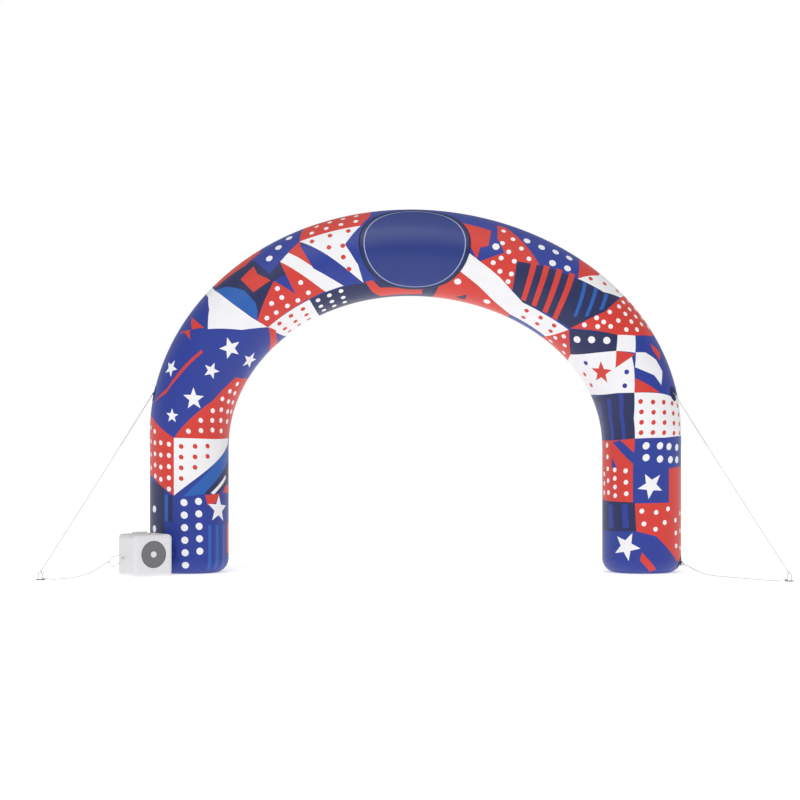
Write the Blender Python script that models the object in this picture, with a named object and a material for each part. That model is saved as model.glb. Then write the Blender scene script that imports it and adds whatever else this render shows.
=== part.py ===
"""Inflatable tube arch with its blower, guy ropes, ground lines and anchors.

Metres, +Z up. The arch stands across X and is walked through along Y. Pieces are placed from the middle of
the arch on the ground, and the empty "arch_middle" then moves them all, so that the world origin is under
the middle of the box that holds the arch and the blower.
"""

import math

import bmesh
import bpy
import numpy as np
from mathutils import Matrix, Vector

GAP = 0.0003  # between two pieces that touch

# Arch: an outer and an inner half ellipse, each on straight legs
OUTER_HALF = 2.283
INNER_HALF = 1.607
OUTER_SPRING = 1.20  # height at which the outer line starts to bend
INNER_SPRING = 1.08
OUTER_RISE = 1.918
INNER_RISE = 1.294
CROWN_LEAN = -0.045  # the crown sits a little left of the middle
LEG_RADIUS = (OUTER_HALF - INNER_HALF) / 2
FOOT_ROUND = 0.12  # round between the leg's side and the flat under it
FOOT_STEPS = 5
LEG_STEPS = 6
BEND_STEPS = 44
AROUND = 24

# Slightly oval panel on the front of the crown
PANEL_ANGLE = 6.0  # degrees from the front of the tube to its outer side
PANEL_HALF_WIDTH = 0.460
PANEL_HALF_HEIGHT = 0.425
PANEL_LIFT = 0.003
PANEL_THICK = 0.003

# Ties: a sewn patch, a tab and a D-ring
PATCH_RADIUS = 0.055
PATCH_LIFT = 0.001
PATCH_THICK = 0.0015
RING_HALF = 0.020  # half the straight bar of the D, and the radius of its bow
RING_WIRE = 0.003
TAB_WALL = 0.0016
TAB_REACH = 0.022  # from the bar to the end of the tab's flat tail
TAB_HALF_WIDTH = 0.013
GUY_TIE_ANGLES = {"left": 80.0, "right": 60.0}  # degrees from the front of the tube to its outer side
GUY_TIE_TRAVELS = {"left": 1.425, "right": 1.435}  # along the tube's centre line from its own foot
FOOT_TIE_ANGLE = 76.0
FOOT_TIE_TRAVEL = 0.085

# Ropes
ROPE_RADIUS = 0.004
ROPE_STEP = 0.025
ROPE_ON_GROUND = ROPE_RADIUS + GAP
KNOT_HALF_LENGTH = 0.011
KNOT_RADIUS = 0.008
GUY_SAG = 0.006
GUY_ROUTE_POINTS = 16

# Anchors, from the middle of the arch
ANCHORS = {"left": Vector((-3.090, -0.975, 0)), "right": Vector((3.045, -1.120, 0))}
PLATE_SIZE = Vector((0.070, 0.050, 0.005))
HOOP_HALF = 0.017
HOOP_HEIGHT = 0.065
HOOP_WIRE = 0.003

# Blower
BLOWER_MIDDLE = Vector((-2.277, -0.490, 0))
BLOWER_YAW = 30.3  # degrees
BLOWER_SIDE = 0.350
BLOWER_HEIGHT = 0.355
BLOWER_ROUND = 0.034
INTAKE_RADIUS = 0.114
INTAKE_HEIGHT = 0.190
INTAKE_DEPTH = 0.014
GRILLE_THICK = 0.008
HUB_RADIUS = 0.026
HUB_THICK = 0.007
GRIP_SIZE = Vector((0.130, 0.034, 0.014))
GRIP_BACK = 0.105
EYE_BACK = 0.030  # from the middle of the blower's side towards its back
EYE_HEIGHT = 0.158
EYE_BASE_RADIUS = 0.019
EYE_BASE_THICK = 0.004
EYE_RADIUS = 0.012
EYE_WIRE = 0.0026
SLEEVE_RADIUS = 0.055
SLEEVE_HEIGHT = 0.190
SLEEVE_START_BACK = 0.018
COLLAR_RADIUS = 0.060
COLLAR_LENGTH = 0.018
LEG_CUT_CLEARANCE = 0.002

# Ground lines between their ends, by hand: along the ground and up to the piece they are tied to
LEFT_LINE = [
    (-2.606, -0.646, 0.108), (-2.632, -0.664, 0.089), (-2.658, -0.683, 0.071), (-2.690, -0.708, 0.053),
    (-2.724, -0.735, 0.038), (-2.760, -0.763, 0.026), (-2.797, -0.790, 0.0165), (-2.836, -0.815, 0.010),
    (-2.876, -0.845, 0.006), (-2.912, -0.877, ROPE_ON_GROUND), (-2.946, -0.914, ROPE_ON_GROUND),
    (-2.978, -0.948, ROPE_ON_GROUND), (-3.015, -0.971, 0.0085),
]
RIGHT_LINE = [
    (2.338, -0.176, 0.056), (2.362, -0.226, 0.042), (2.389, -0.283, 0.029), (2.418, -0.345, 0.018),
    (2.450, -0.410, 0.010), (2.486, -0.480, 0.0055), (2.524, -0.551, ROPE_ON_GROUND),
    (2.566, -0.622, ROPE_ON_GROUND), (2.615, -0.694, ROPE_ON_GROUND), (2.670, -0.766, ROPE_ON_GROUND),
    (2.726, -0.850, ROPE_ON_GROUND), (2.784, -0.935, ROPE_ON_GROUND), (2.845, -1.018, ROPE_ON_GROUND),
    (2.908, -1.088, ROPE_ON_GROUND), (2.968, -1.118, 0.0085),
]
ON_ROPES = ("guy_rope", "guy_knot", "ground_line", "line_knot", "eye_loop", "anchor")
# Rope loop through the blower's eye: metres away from the eye, and height
EYE_LOOP = [
    (0.000, 0.158), (0.006, 0.174), (0.024, 0.181), (0.052, 0.178), (0.082, 0.170), (0.104, 0.155),
    (0.113, 0.134), (0.107, 0.108), (0.088, 0.085), (0.064, 0.089), (0.038, 0.109), (0.012, 0.134),
]


# ---------------------------------------------------------------- scene and materials

def clear_scene():
    for thing in list(bpy.data.objects):
        bpy.data.objects.remove(thing, do_unlink=True)


def finish(name, colour, roughness, metallic=0.0):
    """A plain Principled material."""
    material = bpy.data.materials.new(name)
    material.use_nodes = True
    shader = material.node_tree.nodes["Principled BSDF"]
    shader.inputs["Base Color"].default_value = (*colour, 1.0)
    shader.inputs["Roughness"].default_value = roughness
    shader.inputs["Metallic"].default_value = metallic
    return material


def add_object(name, data, material, middle):
    """Links an object under the arch's empty, with one material."""
    thing = bpy.data.objects.new(name, data)
    bpy.context.collection.objects.link(thing)
    thing.parent = middle
    if material:
        data.materials.append(material)
    return thing


def mesh_from(name, bm, material, middle, smooth_angle=None):
    """Turns a bmesh into an object with its faces pointing out."""
    bmesh.ops.recalc_face_normals(bm, faces=bm.faces)
    if bm.calc_volume(signed=True) < 0:
        bmesh.ops.reverse_faces(bm, faces=bm.faces)
    mesh = bpy.data.meshes.new(name)
    bm.to_mesh(mesh)
    bm.free()
    if smooth_angle:
        mesh.shade_smooth()
        mesh.set_sharp_from_angle(angle=math.radians(smooth_angle))
    return add_object(name, mesh, material, middle)


# ---------------------------------------------------------------- the arch's shape

def bend_lines(angle):
    """Outer and inner points (x, z) of the bend, at an angle in radians from its left end."""
    lean = CROWN_LEAN * np.sin(angle) ** 3
    outer = np.array([lean - OUTER_HALF * np.cos(angle), OUTER_SPRING + OUTER_RISE * np.sin(angle)])
    inner = np.array([lean - INNER_HALF * np.cos(angle), INNER_SPRING + INNER_RISE * np.sin(angle)])
    return outer, inner


def travel_table(samples=721):
    """Bend angles, and the length of the tube's centre line up to each of them."""
    angles = np.linspace(0.0, math.pi, samples)
    outer, inner = bend_lines(angles)
    centre = (outer + inner) / 2
    steps = np.hypot(*np.diff(centre, axis=1))
    return angles, np.concatenate([[0.0], np.cumsum(steps)])


ANGLES, LENGTHS = travel_table()
LEG_LENGTH = (OUTER_SPRING + INNER_SPRING) / 2
BEND_LENGTH = LENGTHS[-1]
TUBE_LENGTH = 2 * LEG_LENGTH + BEND_LENGTH


def leg_lines(height):
    """Outer and inner points (x, z) of the left leg. Its sections are level at the foot, then slope."""
    share = max(0.0, (height - FOOT_ROUND) / (LEG_LENGTH - FOOT_ROUND))
    slope = share * (OUTER_SPRING - INNER_SPRING) / 2
    return np.array([-OUTER_HALF, height + slope]), np.array([-INNER_HALF, height - slope])


def section(travel):
    """Centre, direction to the outer side and radius of the tube, at a distance from its left end."""
    mirrored = travel > LEG_LENGTH + BEND_LENGTH
    along = TUBE_LENGTH - travel if mirrored else travel
    if along < LEG_LENGTH:
        outer, inner = leg_lines(along)
    else:
        outer, inner = bend_lines(np.interp(along - LEG_LENGTH, LENGTHS, ANGLES))
    if mirrored:
        outer[0] *= -1
        inner[0] *= -1
    centre = (outer + inner) / 2
    span = outer - inner
    length = math.hypot(*span)
    radius = length / 2
    if along < FOOT_ROUND:
        drop = FOOT_ROUND - along
        radius -= FOOT_ROUND - math.sqrt(FOOT_ROUND**2 - drop**2)
    return Vector((centre[0], 0, centre[1])), Vector((span[0], 0, span[1])) / length, radius


def on_tube(travel, angle, lift=0.0):
    """A point over the tube's surface. The angle is 0 at the front and 90 degrees at the outer side."""
    centre, outward, radius = section(travel)
    normal = outward * math.sin(angle) - Vector((0, 1, 0)) * math.cos(angle)
    return centre + normal * (radius + lift)


def ring_travels():
    """Where the tube's rings are: close together round each foot, even along the legs and the bend."""
    foot = [FOOT_ROUND * (1 - math.cos(math.pi / 2 * k / FOOT_STEPS)) for k in range(FOOT_STEPS)]
    leg = list(np.linspace(FOOT_ROUND, LEG_LENGTH, LEG_STEPS, endpoint=False))
    bend = list(LEG_LENGTH + np.linspace(0, BEND_LENGTH, BEND_STEPS + 1))
    left = foot + leg
    return left + bend + [TUBE_LENGTH - t for t in reversed(left)]


def make_arch(material, middle):
    bm = bmesh.new()
    rings = []
    for travel in ring_travels():
        angles = [2 * math.pi * k / AROUND for k in range(AROUND)]
        rings.append([bm.verts.new(on_tube(travel, a)) for a in angles])
    for low, high in zip(rings, rings[1:]):
        for k in range(AROUND):
            after = (k + 1) % AROUND
            bm.faces.new((low[k], low[after], high[after], high[k]))
    bm.faces.new(rings[0])
    bm.faces.new(rings[-1])
    return mesh_from("arch_tube", bm, material, middle, smooth_angle=50)


def make_wrapped_disc(name, place, halves, layer, rings, sides, material, middle):
    """A thin round or oval piece of cloth on the tube: place is (travel, angle), halves its half sizes along
    and round the tube, and layer its lift over the tube and its thickness."""
    travel, angle = place
    lift, thick = layer
    bm = bmesh.new()
    tube_radius = section(travel)[2]
    layers = []
    for height in (lift, lift + thick):
        def spot(reach, turn, height=height):
            along = travel + halves[0] * reach * math.cos(turn)
            round_tube = angle + halves[1] * reach * math.sin(turn) / tube_radius
            return bm.verts.new(on_tube(along, round_tube, height))
        hub = spot(0, 0)
        loops = []
        for r in range(1, rings + 1):
            loops.append([spot(r / rings, 2 * math.pi * k / sides) for k in range(sides)])
        for k in range(sides):
            bm.faces.new((hub, loops[0][k], loops[0][(k + 1) % sides]))
        bridge_rings(bm, loops)
        layers.append(loops[-1])
    bridge_rings(bm, layers)
    return mesh_from(name, bm, material, middle, smooth_angle=40)


def bridge_rings(bm, loops):
    """Quads between each ring of vertices and the next."""
    for low, high in zip(loops, loops[1:]):
        for k in range(len(low)):
            after = (k + 1) % len(low)
            bm.faces.new((low[k], low[after], high[after], high[k]))


# ---------------------------------------------------------------- wires, ropes and knots

def make_wire(name, points, radius, material, middle, closed=False):
    """A round bar or rope along a list of points, with its ends filled."""
    curve = bpy.data.curves.new(name, "CURVE")
    curve.dimensions = "3D"
    curve.bevel_depth = radius
    curve.bevel_resolution = 2
    curve.render_resolution_u = 0
    curve.use_fill_caps = True
    line = curve.splines.new("POLY")
    line.points.add(len(points) - 1)
    for spot, place in zip(line.points, points):
        spot.co = (*place, 1.0)
    line.use_cyclic_u = closed
    return add_object(name, curve, material, middle)


def smooth_route(route, step, closed=False):
    """Evenly spaced points on a smooth curve through the route's own points."""
    corners = [Vector(p) for p in route]
    if closed:
        corners = [corners[-1], *corners, corners[0], corners[1]]
    else:
        first = corners[0] * 2 - corners[1]
        last = corners[-1] * 2 - corners[-2]
        corners = [first, *corners, last]
    fine = []
    for a, b, c, d in zip(corners, corners[1:], corners[2:], corners[3:]):
        for k in range(12):
            t = k / 12
            fine.append(0.5 * (2 * b + (c - a) * t + (2 * a - 5 * b + 4 * c - d) * t**2
                               + (3 * b - a - 3 * c + d) * t**3))
    fine.append(corners[-2])
    places = np.array([tuple(p) for p in fine])
    lengths = np.concatenate([[0], np.cumsum(np.linalg.norm(np.diff(places, axis=0), axis=1))])
    count = max(2, round(lengths[-1] / step) + 1)
    wanted = np.linspace(0, lengths[-1], count)
    even = [Vector([np.interp(w, lengths, places[:, axis]) for axis in range(3)]) for w in wanted]
    return even[:-1] if closed else even


def sagging_route(start, end, sag, count):
    """A taut rope's route: a straight line that hangs a little in the middle."""
    route = []
    for k in range(count):
        share = k / (count - 1)
        route.append(start.lerp(end, share) - Vector((0, 0, 4 * sag * share * (1 - share))))
    return route


def make_knot(name, centre, direction, material, middle):
    """An egg-shaped knot whose ends lie along a direction."""
    bm = bmesh.new()
    bmesh.ops.create_uvsphere(bm, u_segments=10, v_segments=6, radius=1.0)
    shape = Matrix.Diagonal((KNOT_RADIUS, KNOT_RADIUS, KNOT_HALF_LENGTH, 1))
    turn = direction.to_track_quat("Z", "Y").to_matrix().to_4x4()
    bm.transform(Matrix.Translation(centre) @ turn @ shape)
    return mesh_from(name, bm, material, middle, smooth_angle=80)


def past_knot(contact, direction):
    """A knot's centre and the start of its rope, where the knot touches a wire at a contact point."""
    centre = contact + direction * (GAP + KNOT_HALF_LENGTH)
    return centre, centre + direction * (KNOT_HALF_LENGTH + GAP)


# ---------------------------------------------------------------- ties on the tube

def make_tab(name, bar, along, out, toward, material, middle):
    """Webbing folded round the D-ring's bar, with its tails flat on the patch."""
    hole = RING_WIRE + 2 * GAP
    wall = hole + TAB_WALL
    sides = 20
    outline = []
    for k in range(sides):
        turn = 2 * math.pi * k / sides
        if math.sin(turn) > -0.05:
            outline.append((wall * math.cos(turn), wall * math.sin(turn)))
        else:
            reach = min(TAB_REACH / max(abs(math.cos(turn)), 0.01), wall / abs(math.sin(turn)))
            outline.append((reach * math.cos(turn), reach * math.sin(turn)))
    inner = [(hole * math.cos(2 * math.pi * k / sides), hole * math.sin(2 * math.pi * k / sides))
             for k in range(sides)]
    bm = bmesh.new()
    loops = []
    for profile, shift in ((outline, -1), (outline, 1), (inner, 1), (inner, -1)):
        ends = along * (shift * TAB_HALF_WIDTH)
        loops.append([bm.verts.new(bar + ends + toward * a + out * b) for a, b in profile])
    bridge_rings(bm, [*loops, loops[0]])
    return mesh_from(name, bm, material, middle, smooth_angle=40)


def make_tie(name, travel, angle, target, looks, middle):
    """Patch, tab and D-ring. Returns the point on the ring's bow that faces the target, and the pull."""
    foot = on_tube(travel, angle)
    ahead = on_tube(travel + 0.01, angle) - on_tube(travel - 0.01, angle)
    round_tube = on_tube(travel, angle + 0.01) - on_tube(travel, angle - 0.01)
    out = round_tube.cross(ahead).normalized()
    if out.dot(foot - section(travel)[0]) < 0:
        out = -out
    make_wrapped_disc(f"{name}_patch", (travel, angle), (PATCH_RADIUS, PATCH_RADIUS),
                      (PATCH_LIFT, PATCH_THICK), 3, 20, looks["patch"], middle)
    wall = RING_WIRE + 2 * GAP + TAB_WALL
    bar = foot + out * (PATCH_LIFT + PATCH_THICK + GAP + wall)
    pull = (target - bar).normalized()
    along = out.cross(pull).normalized()
    make_tab(f"{name}_tab", bar, along, out, along.cross(out), looks["webbing"], middle)
    bow = [along * RING_HALF * math.cos(math.pi * k / 12) + pull * RING_HALF * math.sin(math.pi * k / 12)
           for k in range(13)]
    bow += [along * x for x in (-0.5 * RING_HALF, 0.5 * RING_HALF)]
    make_wire(f"{name}_ring", [bar + p for p in bow], RING_WIRE, looks["steel"], middle, closed=True)
    return bar + pull * (RING_HALF + RING_WIRE), pull


# ---------------------------------------------------------------- anchors

def make_anchor(side, looks, middle):
    """A ground plate and the hoop that stands on it."""
    place = ANCHORS[side]
    bm = bmesh.new()
    bmesh.ops.create_cube(bm, size=1.0)
    bm.transform(Matrix.Translation(place + Vector((0, 0, PLATE_SIZE.z / 2)))
                 @ Matrix.Diagonal((*PLATE_SIZE, 1)))
    bmesh.ops.bevel(bm, geom=[e for e in bm.edges if abs(e.verts[0].co.z - e.verts[1].co.z) > GAP],
                    offset=0.008, segments=3, affect="EDGES", profile=0.5)
    mesh_from(f"anchor_plate_{side}", bm, looks["plate"], middle, smooth_angle=40)
    low = PLATE_SIZE.z + GAP
    spring = HOOP_HEIGHT - HOOP_HALF
    hoop = [(HOOP_HALF, z) for z in (low, (low + spring) / 2)]
    hoop += [(HOOP_HALF * math.cos(math.pi * k / 10), spring + HOOP_HALF * math.sin(math.pi * k / 10))
             for k in range(11)]
    hoop += [(-HOOP_HALF, z) for z in ((low + spring) / 2, low)]
    make_wire(f"anchor_hoop_{side}", [place + Vector((x, 0, z)) for x, z in hoop], HOOP_WIRE,
              looks["steel"], middle)


# ---------------------------------------------------------------- blower

def blower_axes():
    """Directions to the blower's front and to its right side, as it faces the front."""
    yaw = math.radians(BLOWER_YAW)
    right = Vector((math.cos(yaw), math.sin(yaw), 0))
    return Vector((right.y, -right.x, 0)), right


def make_drum(name, base, axis, radius, length, sides, material, middle, bevel=0.0):
    """A cylinder from a base point along an axis, with its far edge rounded if wanted."""
    bm = bmesh.new()
    bmesh.ops.create_cone(bm, cap_ends=True, segments=sides, radius1=radius, radius2=radius, depth=length)
    if bevel:
        top = [e for e in bm.edges if all(v.co.z > 0 for v in e.verts)]
        bmesh.ops.bevel(bm, geom=top, offset=bevel, segments=2, affect="EDGES", profile=0.5)
    turn = axis.to_track_quat("Z", "Y").to_matrix().to_4x4()
    bm.transform(Matrix.Translation(base + axis * length / 2) @ turn)
    return mesh_from(name, bm, material, middle, smooth_angle=40)


def cut(thing, cutter, name):
    """Takes the cutter's shape out of a piece."""
    cutter.hide_render = True
    cutter.display_type = "WIRE"
    step = thing.modifiers.new(name, "BOOLEAN")
    step.operation = "DIFFERENCE"
    step.solver = "EXACT"
    step.object = cutter


def make_blower(looks, middle):
    """Housing, intake, grip, rope eye, and the sleeve to the leg. Returns the middle of the rope eye."""
    front, right = blower_axes()
    bm = bmesh.new()
    bmesh.ops.create_cube(bm, size=1.0)
    bm.transform(Matrix.Diagonal((BLOWER_SIDE, BLOWER_SIDE, BLOWER_HEIGHT, 1)))
    bmesh.ops.bevel(bm, geom=bm.edges[:], offset=BLOWER_ROUND, segments=4, affect="EDGES", profile=0.5)
    bm.transform(Matrix.Translation(BLOWER_MIDDLE + Vector((0, 0, BLOWER_HEIGHT / 2)))
                 @ Matrix.Rotation(math.radians(BLOWER_YAW), 4, "Z"))
    housing = mesh_from("blower_housing", bm, looks["shell"], middle, smooth_angle=30)

    face = BLOWER_MIDDLE + front * BLOWER_SIDE / 2 + Vector((0, 0, INTAKE_HEIGHT))
    well = make_drum("intake_well", face - front * INTAKE_DEPTH, front, INTAKE_RADIUS, 2 * INTAKE_DEPTH, 48,
                     None, middle)
    cut(housing, well, "intake well")
    grille = face - front * (INTAKE_DEPTH - GAP)
    make_drum("intake_grille", grille, front, INTAKE_RADIUS - 2 * GAP, GRILLE_THICK, 48, looks["grille"],
              middle, bevel=0.002)
    make_drum("intake_hub", grille + front * (GRILLE_THICK + GAP), front, HUB_RADIUS, HUB_THICK, 24,
              looks["shell"], middle, bevel=0.003)

    bm = bmesh.new()
    bmesh.ops.create_cube(bm, size=1.0)
    bm.transform(Matrix.Diagonal((*GRIP_SIZE, 1)))
    bmesh.ops.bevel(bm, geom=[e for e in bm.edges if max(v.co.z for v in e.verts) > 0],
                    offset=0.006, segments=3, affect="EDGES", profile=0.5)
    top = BLOWER_MIDDLE - front * GRIP_BACK + Vector((0, 0, BLOWER_HEIGHT + GAP + GRIP_SIZE.z / 2))
    bm.transform(Matrix.Translation(top) @ Matrix.Rotation(math.radians(BLOWER_YAW), 4, "Z"))
    mesh_from("blower_grip", bm, looks["shell"], middle, smooth_angle=40)

    left_face = BLOWER_MIDDLE - right * BLOWER_SIDE / 2 - front * EYE_BACK + Vector((0, 0, EYE_HEIGHT))
    make_drum("eye_base", left_face - right * GAP, -right, EYE_BASE_RADIUS, EYE_BASE_THICK, 20,
              looks["shell"], middle, bevel=0.001)
    eye = left_face - right * (2 * GAP + EYE_BASE_THICK + EYE_WIRE + EYE_RADIUS)
    circle = [eye + Vector((math.cos(a), math.sin(a), 0)) * EYE_RADIUS
              for a in (2 * math.pi * k / 18 for k in range(18))]
    make_wire("eye_ring", circle, EYE_WIRE, looks["steel"], middle, closed=True)

    right_face = BLOWER_MIDDLE + right * BLOWER_SIDE / 2 - front * SLEEVE_START_BACK
    start = right_face + Vector((0, 0, SLEEVE_HEIGHT))
    make_drum("outlet_collar", start + right * GAP, right, COLLAR_RADIUS, COLLAR_LENGTH, 32,
              looks["shell"], middle, bevel=0.002)
    make_sleeve(start + right * (COLLAR_LENGTH + 2 * GAP), right, looks["sleeve"], middle)
    return eye


def make_sleeve(mouth, axis, material, middle):
    """The cloth sleeve from the blower's outlet into the left leg, which its end follows."""
    leg = section(LEG_LENGTH / 2)[0]
    inward = Vector((leg.x - mouth.x, leg.y - mouth.y, 0)).normalized()
    end = mouth + inward * 0.14
    bm = bmesh.new()
    elbow = mouth + axis * 0.022
    loops = []
    for share, centre, facing in ((0.0, mouth, axis), (0.35, elbow, axis + inward), (1.0, end, inward)):
        side = facing.normalized().cross(Vector((0, 0, 1)))
        reach = SLEEVE_RADIUS * (1 - 0.06 * share)
        loops.append([bm.verts.new(centre + (side * math.cos(a) + Vector((0, 0, 1)) * math.sin(a)) * reach)
                      for a in (2 * math.pi * k / 24 for k in range(24))])
    bridge_rings(bm, loops)
    bm.faces.new(loops[0])
    bm.faces.new(loops[-1])
    sleeve = mesh_from("inflation_sleeve", bm, material, middle, smooth_angle=40)
    cutter = make_drum("leg_cutter", Vector((leg.x, 0, 0)), Vector((0, 0, 1)), LEG_RADIUS + LEG_CUT_CLEARANCE,
                       0.5, 72, None, middle)
    cut(sleeve, cutter, "leg")


# ---------------------------------------------------------------- ropes in place

def make_guy(side, looks, middle):
    """One guy rope, from its tie high on the leg down to the hoop of its anchor."""
    travel = GUY_TIE_TRAVELS[side] if side == "left" else TUBE_LENGTH - GUY_TIE_TRAVELS[side]
    hoop_top = ANCHORS[side] + Vector((0, 0, HOOP_HEIGHT))
    bow, pull = make_tie(f"guy_tie_{side}", travel, math.radians(GUY_TIE_ANGLES[side]), hoop_top, looks, middle)
    up = (bow - hoop_top).normalized()
    top_knot, start = past_knot(bow, pull)
    low_knot, end = past_knot(hoop_top + up * HOOP_WIRE, up)
    make_knot(f"guy_knot_top_{side}", top_knot, pull, looks["rope"], middle)
    make_knot(f"guy_knot_low_{side}", low_knot, up, looks["rope"], middle)
    route = sagging_route(start, end, GUY_SAG, GUY_ROUTE_POINTS)
    make_wire(f"guy_rope_{side}", smooth_route(route, ROPE_STEP), ROPE_RADIUS, looks["rope"], middle)


def make_ground_line(side, contact, pull, route, looks, middle):
    """A ground line: a knot at a contact point, the rope along its route, and a knot at the anchor's hoop."""
    inner_way = 1 if side == "left" else -1
    foot = ANCHORS[side] + Vector((inner_way * (HOOP_HALF + HOOP_WIRE), 0, PLATE_SIZE.z + KNOT_RADIUS + GAP))
    near_knot, start = past_knot(contact, pull)
    anchor_pull = Vector((inner_way, 0, 0))
    far_knot, end = past_knot(foot, anchor_pull)
    make_knot(f"line_knot_{side}", near_knot, pull, looks["rope"], middle)
    make_knot(f"line_knot_anchor_{side}", far_knot, anchor_pull, looks["rope"], middle)
    points = smooth_route([start, *route, end], ROPE_STEP)
    make_wire(f"ground_line_{side}", points, ROPE_RADIUS, looks["rope"], middle)


def make_left_line(eye, looks, middle):
    """The left ground line, tied to a rope loop that runs through the blower's eye."""
    away = Vector((LEFT_LINE[0][0] - eye.x, LEFT_LINE[0][1] - eye.y, 0)).normalized()
    loop = [Vector((eye.x, eye.y, 0)) + away * s + Vector((0, 0, z)) for s, z in EYE_LOOP]
    make_wire("eye_loop", smooth_route(loop, 0.012, closed=True), ROPE_RADIUS, looks["rope"], middle, closed=True)
    far_side = max(range(len(loop)), key=lambda k: EYE_LOOP[k][0])
    contact = loop[far_side]
    pull = (Vector(LEFT_LINE[0]) - contact).normalized()
    make_ground_line("left", contact + pull * ROPE_RADIUS * 1.15, pull, LEFT_LINE, looks, middle)


def make_right_line(looks, middle):
    """The right ground line, tied low on the outer side of the right leg."""
    travel = TUBE_LENGTH - FOOT_TIE_TRAVEL
    bow, pull = make_tie("foot_tie", travel, math.radians(FOOT_TIE_ANGLE), Vector(RIGHT_LINE[0]), looks, middle)
    make_ground_line("right", bow, pull, RIGHT_LINE, looks, middle)


def move_to_origin(middle):
    """Moves everything so that the origin is under the middle of the box round all but the ropes and anchors."""
    bpy.context.view_layer.update()
    corners = []
    for thing in middle.children:
        if not thing.hide_render and not thing.name.startswith(ON_ROPES):
            corners += [Vector(c) for c in thing.bound_box]
    for axis in range(2):
        values = [c[axis] for c in corners]
        middle.location[axis] = -(min(values) + max(values)) / 2


def main():
    clear_scene()
    looks = {
        "cloth": finish("printed cloth", (0.10, 0.14, 0.42), 0.55),
        "panel": finish("panel cloth", (0.03, 0.08, 0.35), 0.55),
        "patch": finish("patch cloth", (0.02, 0.04, 0.18), 0.60),
        "webbing": finish("webbing", (0.02, 0.03, 0.10), 0.80),
        "sleeve": finish("sleeve cloth", (0.03, 0.06, 0.25), 0.65),
        "steel": finish("zinc-plated wire", (0.62, 0.63, 0.65), 0.35, 1.0),
        "plate": finish("dark steel", (0.18, 0.18, 0.19), 0.55, 1.0),
        "rope": finish("braided rope", (0.78, 0.78, 0.80), 0.80),
        "shell": finish("white plastic", (0.82, 0.82, 0.83), 0.40),
        "grille": finish("grey plastic", (0.25, 0.25, 0.26), 0.60),
    }
    middle = bpy.data.objects.new("arch_middle", None)
    bpy.context.collection.objects.link(middle)
    make_arch(looks["cloth"], middle)
    make_wrapped_disc("crown_panel", (TUBE_LENGTH / 2, math.radians(PANEL_ANGLE)),
                      (PANEL_HALF_WIDTH, PANEL_HALF_HEIGHT), (PANEL_LIFT, PANEL_THICK), 9, 48,
                      looks["panel"], middle)
    eye = make_blower(looks, middle)
    for side in ANCHORS:
        make_anchor(side, looks, middle)
        make_guy(side, looks, middle)
    make_left_line(eye, looks, middle)
    make_right_line(looks, middle)
    move_to_origin(middle)


main()
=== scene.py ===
"""Looks of the inflatable arch: printed cloth, crown panel, ties, ropes, anchors and blower."""

import math
from typing import NamedTuple

import bpy
import numpy as np
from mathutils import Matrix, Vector
from mathutils.geometry import delaunay_2d_cdt


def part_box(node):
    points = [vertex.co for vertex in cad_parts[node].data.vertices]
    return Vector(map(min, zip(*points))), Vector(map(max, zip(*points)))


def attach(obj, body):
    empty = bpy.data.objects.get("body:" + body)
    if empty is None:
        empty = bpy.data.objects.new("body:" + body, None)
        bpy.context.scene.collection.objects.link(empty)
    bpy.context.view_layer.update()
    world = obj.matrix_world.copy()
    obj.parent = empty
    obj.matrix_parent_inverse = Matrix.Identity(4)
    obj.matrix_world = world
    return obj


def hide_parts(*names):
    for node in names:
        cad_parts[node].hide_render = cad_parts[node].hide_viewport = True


bl_info = {
    "name": "Inflatable arch",
    "version": (1, 0, 0),
    "blender": (4, 5, 0),
    "location": "View3D > Sidebar > Arch",
    "description": "Makes the printed cloth, ropes, anchors and blower of an inflatable arch",
    "category": "Object",
}

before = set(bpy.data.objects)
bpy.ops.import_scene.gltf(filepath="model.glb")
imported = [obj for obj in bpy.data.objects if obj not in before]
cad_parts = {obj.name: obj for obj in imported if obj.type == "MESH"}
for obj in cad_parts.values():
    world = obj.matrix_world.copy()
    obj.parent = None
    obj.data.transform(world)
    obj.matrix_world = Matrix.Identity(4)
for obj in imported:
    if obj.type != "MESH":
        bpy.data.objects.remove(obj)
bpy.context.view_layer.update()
TUBE_LOW, TUBE_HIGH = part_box("arch_tube")
MIDDLE = Vector(((TUBE_LOW.x + TUBE_HIGH.x) / 2, (TUBE_LOW.y + TUBE_HIGH.y) / 2, 0))
BODY = "root"

# The tube: an outer and an inner half ellipse on straight legs
OUTER_HALF = (TUBE_HIGH.x - TUBE_LOW.x) / 2
INNER_HALF = 1.607
OUTER_SPRING = 1.20
INNER_SPRING = 1.08
OUTER_RISE = 1.918
INNER_RISE = 1.294
CROWN_LEAN = -0.045
FOOT_ROUND = 0.12
LEG_LENGTH = (OUTER_SPRING + INNER_SPRING) / 2

# Flat work: metres along the tube, and metres round it at this much for each radian
GIRTH = 0.35
HALF_GIRTH = math.pi / 2 * GIRTH
EDGE_STEP = 0.028
GRID_ALONG = 0.042
GRID_ROUND = 0.034
FOOT_COLUMNS = 8
SMALLEST_GAP = 1e-5  # flat points nearer than this are one point
LINE_POINTS = 1500
LINE_FOOT_POINTS = 40

# Crown panel, slightly oval
PANEL_ANGLE = 6.0
PANEL_HALVES = (0.460, 0.425)
PANEL_LIFT = 0.003
PANEL_THICK = 0.003
PANEL_RINGS = 48
PANEL_SIDES = 128

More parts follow.
